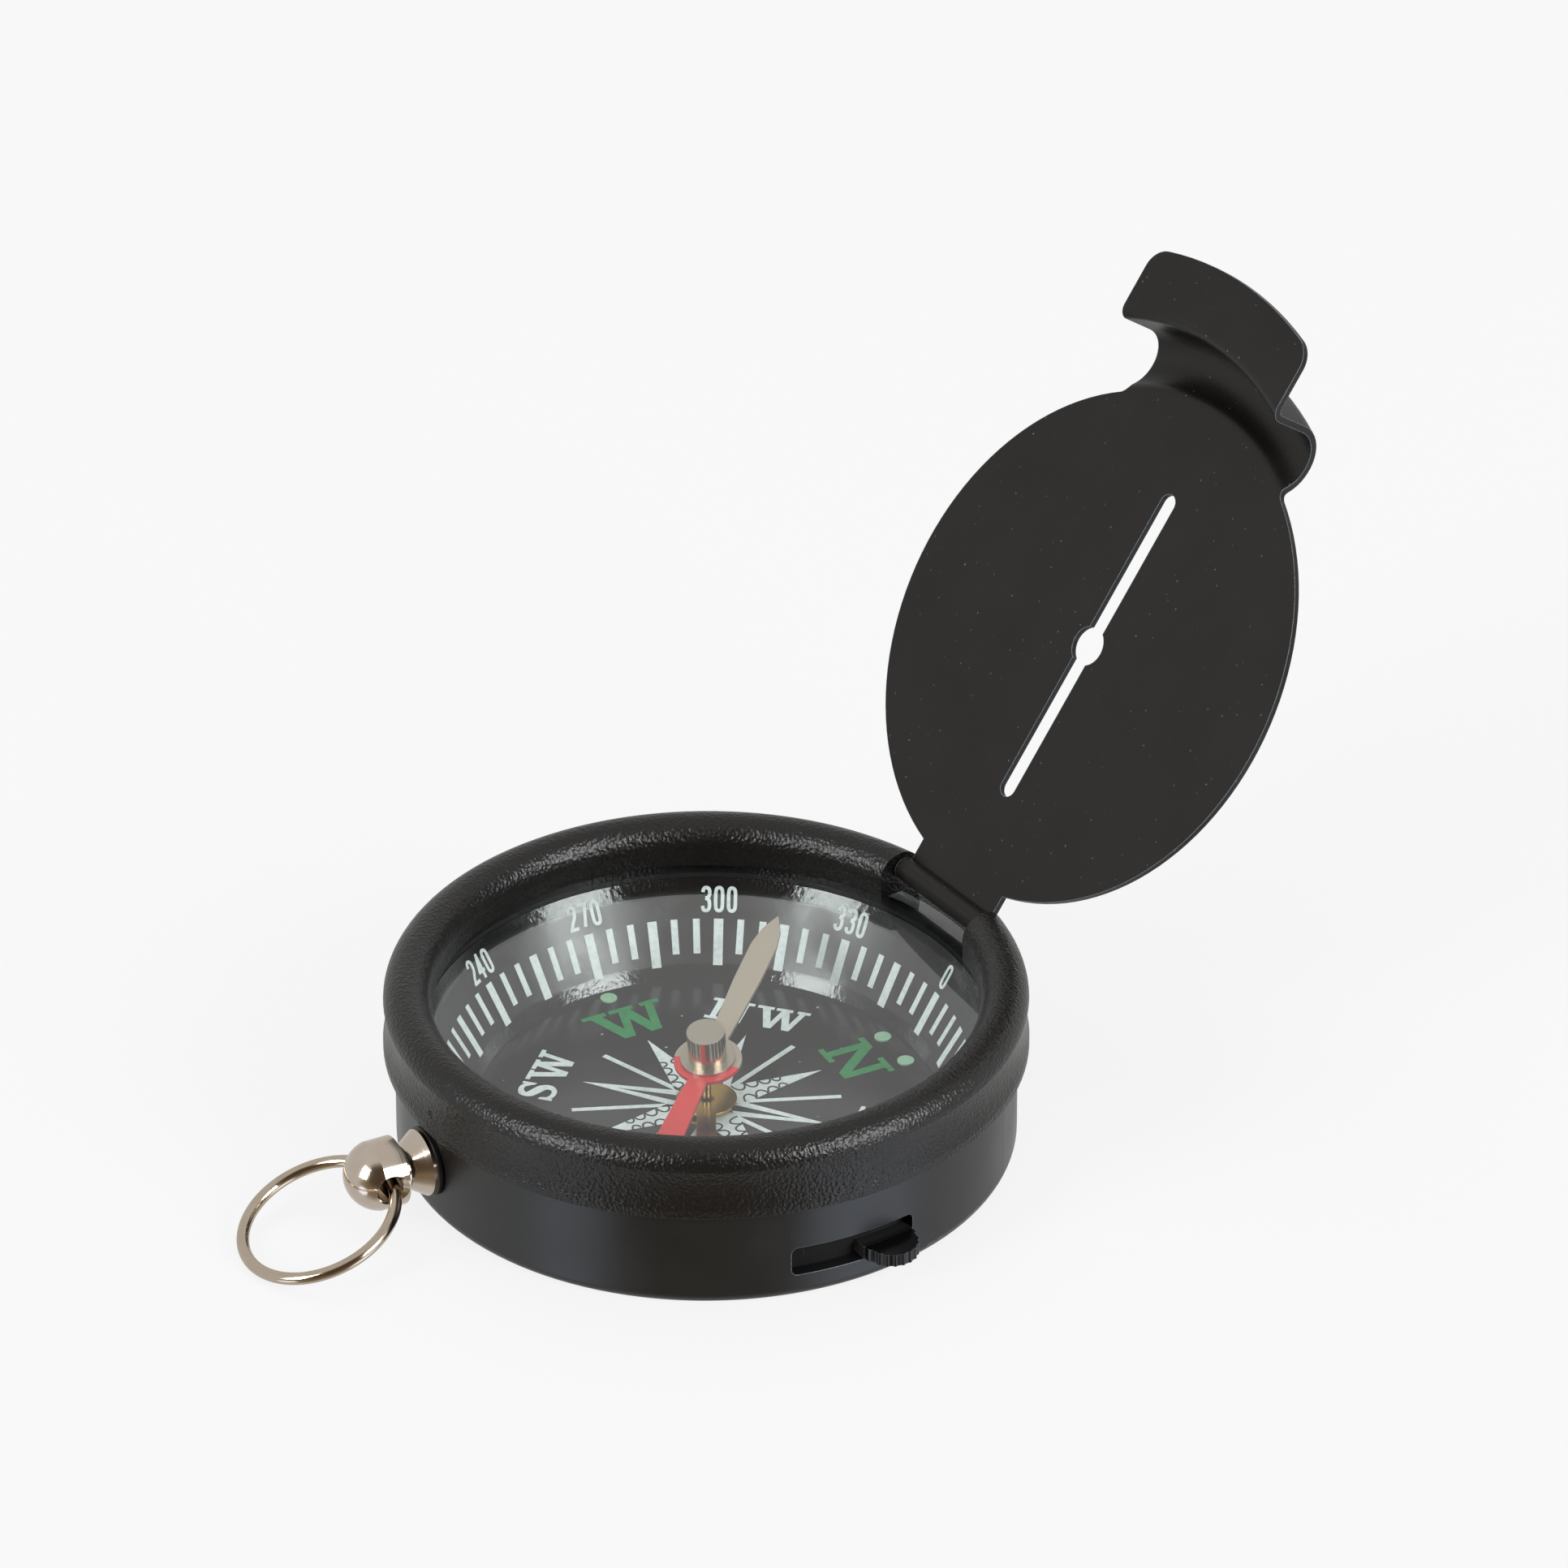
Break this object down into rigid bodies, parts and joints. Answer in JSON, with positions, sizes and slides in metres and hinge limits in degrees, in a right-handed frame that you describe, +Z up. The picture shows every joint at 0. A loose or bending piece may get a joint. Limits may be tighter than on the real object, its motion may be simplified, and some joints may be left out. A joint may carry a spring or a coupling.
{
  "type": "pocket compass",
  "caption": "Round black pocket compass with a hinged sighting lid, a needle lock slide and a swivelling lanyard ring.",
  "frame": {"origin": "centre of the flat base, on the surface that the compass stands on", "axes": "+Z up through the dial, +Y towards the dial's north, +X towards the needle lock; the lanyard ring is at -Y"},
  "size_m": [0.0522, 0.0921, 0.0589],
  "materials": {
    "case_paint": "smooth satin black paint",
    "bezel_paint": "fine grained black paint",
    "lid_paint": "fine matt black paint",
    "clear_glass": "polished",
    "black_rubber": "matt",
    "ring_gloss": "gloss black with pale printed marks",
    "dial_paint": "satin black with printed marks",
    "lume": "matt luminous fill",
    "brass": "turned",
    "brass_dark": "stamped, dull",
    "steel": "ground",
    "needle_steel": "bare half, red painted half",
    "nickel": "warm nickel plate",
    "jewel": "polished red stone",
    "black_plastic": "moulded",
    "washer_black": "black"
  },
  "bodies": {
    "case_body": {"case": "case_paint", "bezel": "bezel_paint", "glass": "clear_glass", "gasket": "black_rubber", "scale_ring": "ring_gloss", "dial_plate": "dial_paint", "lume_dots": "lume", "pivot_bush": "brass", "pivot_pin": "steel", "hinge_pin": "steel", "lever_pin": "steel", "post_washer": "washer_black", "post_cone": "nickel"},
    "lid_body": {"lid": "lid_paint"},
    "slide_body": {"lock_slide": "black_plastic"},
    "lever_body": {"lock_lever": "brass_dark"},
    "needle_body": {"needle": "needle_steel", "needle_cap": "nickel", "jewel": "jewel"},
    "swivel_body": {"swivel_head": "nickel", "swivel_clip": "steel"},
    "ring_body": {"lanyard_ring": "nickel"}
  },
  "joints": [
    {"name": "lid_hinge", "type": "hinge", "parent": "case_body", "child": "lid_body", "pos_m": [-0.00316, 0.02248, 0.0131], "axis": [-0.9903, -0.1392, 0], "range_deg": [-126.6, 48.4]},
    {"name": "lock_travel", "type": "hinge", "parent": "case_body", "child": "slide_body", "pos_m": [0, 0, 0.0033], "axis": [0, 0, 1], "range_deg": [-13.7, 0]},
    {"name": "lever_lift", "type": "hinge", "parent": "case_body", "child": "lever_body", "pos_m": [0.01826, -0.00954, 0.0026], "axis": [0.4633, 0.8862, 0], "range_deg": [0, 5]},
    {"name": "needle_spin", "type": "hinge", "parent": "case_body", "child": "needle_body", "pos_m": [0, 0, 0.0083], "axis": [0, 0, 1], "continuous": true},
    {"name": "head_swivel", "type": "hinge", "parent": "case_body", "child": "swivel_body", "pos_m": [0, -0.0269, 0.00466], "axis": [0, 1, 0], "range_deg": [-25, 25]},
    {"name": "ring_hinge", "type": "hinge", "parent": "swivel_body", "child": "ring_body", "pos_m": [0, -0.0284, 0.00466], "axis": [1, 0, 0], "range_deg": [-25.3, 69.7]}
  ],
  "couplings": [
    {"joint": "lever_lift", "follows": "lock_travel", "ratio": -0.36496}
  ]
}
